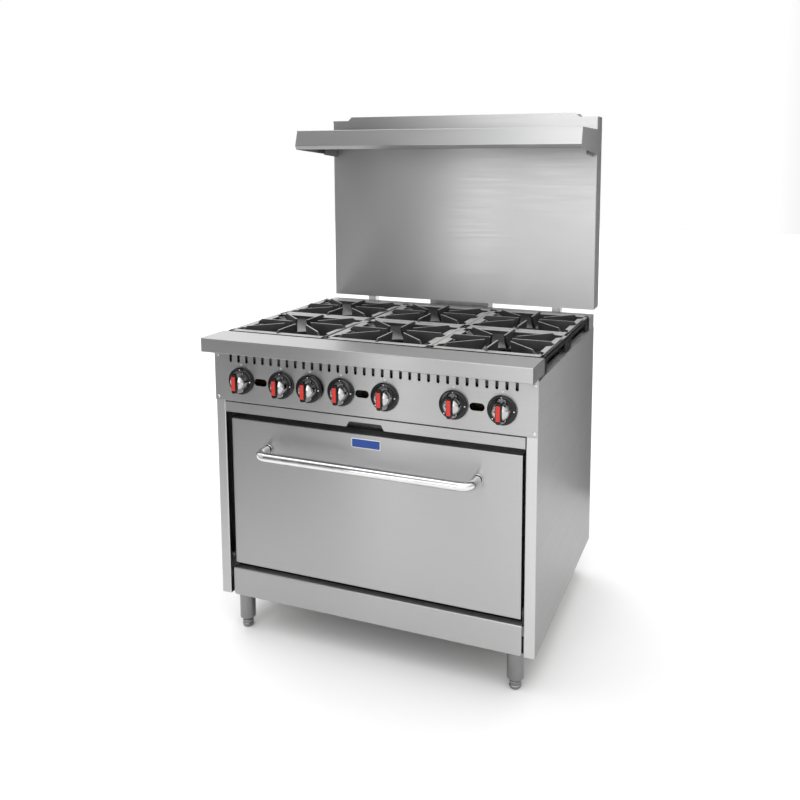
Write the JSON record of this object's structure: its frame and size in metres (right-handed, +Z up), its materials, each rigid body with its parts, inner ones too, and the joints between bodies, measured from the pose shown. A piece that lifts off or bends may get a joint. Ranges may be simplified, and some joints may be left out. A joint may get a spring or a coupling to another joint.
{
  "type": "commercial gas range",
  "caption": "Free-standing stainless gas range: cast-iron hob grates over open burners, a drop-down oven door with a tube handle, knobs, a crumb tray, a backguard and a high shelf.",
  "frame": {"origin": "centre of the whole outline, on the floor that the screw feet stand on", "axes": "+X to the right when facing the control panel, +Y towards the backguard, +Z up"},
  "size_m": [0.914, 0.831, 1.471],
  "materials": {
    "stainless_brushed": "brushed",
    "stainless_polished": "polished",
    "sheet_grey": "satin",
    "cast_iron": "matte",
    "pipe_steel": "satin",
    "brass": "satin",
    "glass_wool": "matte",
    "knob_black": "gloss",
    "badge_blue": "gloss",
    "spring_steel": "satin",
    "oven_enamel": "satin"
  },
  "bodies": {
    "range_body": {"side_panel_left": "stainless_brushed", "side_panel_right": "stainless_brushed", "oven_front_frame": "stainless_brushed", "kick_plate": "stainless_brushed", "control_panel": "stainless_brushed", "front_ledge": "stainless_brushed", "rear_rail": "stainless_brushed", "backguard_front": "stainless_brushed", "high_shelf": "stainless_brushed", "back_panel": "sheet_grey", "base_frame": "sheet_grey", "burner_supports": "sheet_grey", "backguard_rear": "sheet_grey", "backguard_posts": "sheet_grey", "flue_duct": "sheet_grey", "shelf_brackets": "sheet_grey", "door_hinge_brackets": "sheet_grey", "oven_liner": "oven_enamel", "oven_bottom_plate": "oven_enamel", "leg_tubes": "stainless_polished", "rack_guides": "stainless_polished", "screws": "stainless_polished", "door_hinge_pins": "stainless_polished", "burner_bodies": "cast_iron", "burner_heads": "cast_iron", "oven_burner": "cast_iron", "gas_pipework": "pipe_steel", "oven_thermostat": "pipe_steel", "gas_valves": "brass", "pilot_burners": "brass", "gas_regulator": "brass", "oven_insulation": "glass_wool", "door_springs": "spring_steel"},
    "oven_door": {"door_panel": "stainless_brushed", "door_liner": "oven_enamel", "door_insulation": "glass_wool", "door_handle": "stainless_polished", "door_badge": "badge_blue", "door_hinge_arms": "sheet_grey"},
    "thermostat_stem": {"thermostat_stem": "brass"},
    "crumb_tray": {"crumb_tray": "stainless_brushed"},
    "rack_upper": {"rack_upper": "stainless_polished"},
    "rack_lower": {"rack_lower": "stainless_polished"},
    "knob_1": {"knob_1": "knob_black"},
    "knob_2": {"knob_2": "knob_black"},
    "knob_3": {"knob_3": "knob_black"},
    "knob_4": {"knob_4": "knob_black"},
    "knob_5": {"knob_5": "knob_black"},
    "knob_6": {"knob_6": "knob_black"},
    "knob_7": {"knob_7": "knob_black"},
    "grate_1": {"grate_1": "cast_iron"},
    "grate_2": {"grate_2": "cast_iron"},
    "grate_3": {"grate_3": "cast_iron"},
    "grate_4": {"grate_4": "cast_iron"},
    "grate_5": {"grate_5": "cast_iron"},
    "grate_6": {"grate_6": "cast_iron"},
    "foot_1": {"foot_1": "stainless_polished"},
    "foot_2": {"foot_2": "stainless_polished"},
    "foot_3": {"foot_3": "stainless_polished"},
    "foot_4": {"foot_4": "stainless_polished"}
  },
  "joints": [
    {"name": "door_hinge", "type": "hinge", "parent": "range_body", "child": "oven_door", "pos_m": [0, -0.33, 0.207], "axis": [1, 0, 0], "range_deg": [0, 90], "stiffness_Nm_per_rad": 12, "springref_deg": -20.05},
    {"name": "thermostat_push", "type": "slide", "parent": "range_body", "child": "thermostat_stem", "axis": [0, 1, 0], "range_m": [0, 0.005], "stiffness_N_per_m": 400, "springref_m": -0.002},
    {"name": "knob_1_turn", "type": "hinge", "parent": "range_body", "child": "knob_1", "pos_m": [-0.37, -0.3705, 0.731], "axis": [0, -1, 0], "range_deg": [0, 180]},
    {"name": "knob_2_turn", "type": "hinge", "parent": "range_body", "child": "knob_2", "pos_m": [-0.246, -0.3705, 0.731], "axis": [0, -1, 0], "range_deg": [0, 180]},
    {"name": "knob_3_turn", "type": "hinge", "parent": "thermostat_stem", "child": "knob_3", "pos_m": [-0.158, -0.3705, 0.731], "axis": [0, -1, 0], "range_deg": [0, 270]},
    {"name": "knob_4_turn", "type": "hinge", "parent": "range_body", "child": "knob_4", "pos_m": [-0.067, -0.3705, 0.731], "axis": [0, -1, 0], "range_deg": [0, 180]},
    {"name": "knob_5_turn", "type": "hinge", "parent": "range_body", "child": "knob_5", "pos_m": [0.057, -0.3705, 0.731], "axis": [0, -1, 0], "range_deg": [0, 180]},
    {"name": "knob_6_turn", "type": "hinge", "parent": "range_body", "child": "knob_6", "pos_m": [0.243, -0.3705, 0.731], "axis": [0, -1, 0], "range_deg": [0, 180]},
    {"name": "knob_7_turn", "type": "hinge", "parent": "range_body", "child": "knob_7", "pos_m": [0.367, -0.3705, 0.731], "axis": [0, -1, 0], "range_deg": [0, 180]},
    {"name": "grate_1_lift", "type": "slide", "parent": "range_body", "child": "grate_1", "axis": [0, 0, 1], "range_m": [0, 0.1]},
    {"name": "grate_2_lift", "type": "slide", "parent": "range_body", "child": "grate_2", "axis": [0, 0, 1], "range_m": [0, 0.1]},
    {"name": "grate_3_lift", "type": "slide", "parent": "range_body", "child": "grate_3", "axis": [0, 0, 1], "range_m": [0, 0.1]},
    {"name": "grate_4_lift", "type": "slide", "parent": "range_body", "child": "grate_4", "axis": [0, 0, 1], "range_m": [0, 0.1]},
    {"name": "grate_5_lift", "type": "slide", "parent": "range_body", "child": "grate_5", "axis": [0, 0, 1], "range_m": [0, 0.1]},
    {"name": "grate_6_lift", "type": "slide", "parent": "range_body", "child": "grate_6", "axis": [0, 0, 1], "range_m": [0, 0.1]},
    {"name": "crumb_tray_slide", "type": "slide", "parent": "range_body", "child": "crumb_tray", "axis": [0, -1, 0], "range_m": [0, 0.45]},
    {"name": "rack_upper_slide", "type": "slide", "parent": "range_body", "child": "rack_upper", "axis": [0, -1, 0], "range_m": [0, 0.02]},
    {"name": "rack_lower_slide", "type": "slide", "parent": "range_body", "child": "rack_lower", "axis": [0, -1, 0], "range_m": [0, 0.02]},
    {"name": "foot_1_screw", "type": "slide", "parent": "range_body", "child": "foot_1", "axis": [0, 0, 1], "range_m": [-0.025, 0]},
    {"name": "foot_2_screw", "type": "slide", "parent": "range_body", "child": "foot_2", "axis": [0, 0, 1], "range_m": [-0.025, 0]},
    {"name": "foot_3_screw", "type": "slide", "parent": "range_body", "child": "foot_3", "axis": [0, 0, 1], "range_m": [-0.025, 0]},
    {"name": "foot_4_screw", "type": "slide", "parent": "range_body", "child": "foot_4", "axis": [0, 0, 1], "range_m": [-0.025, 0]}
  ]
}
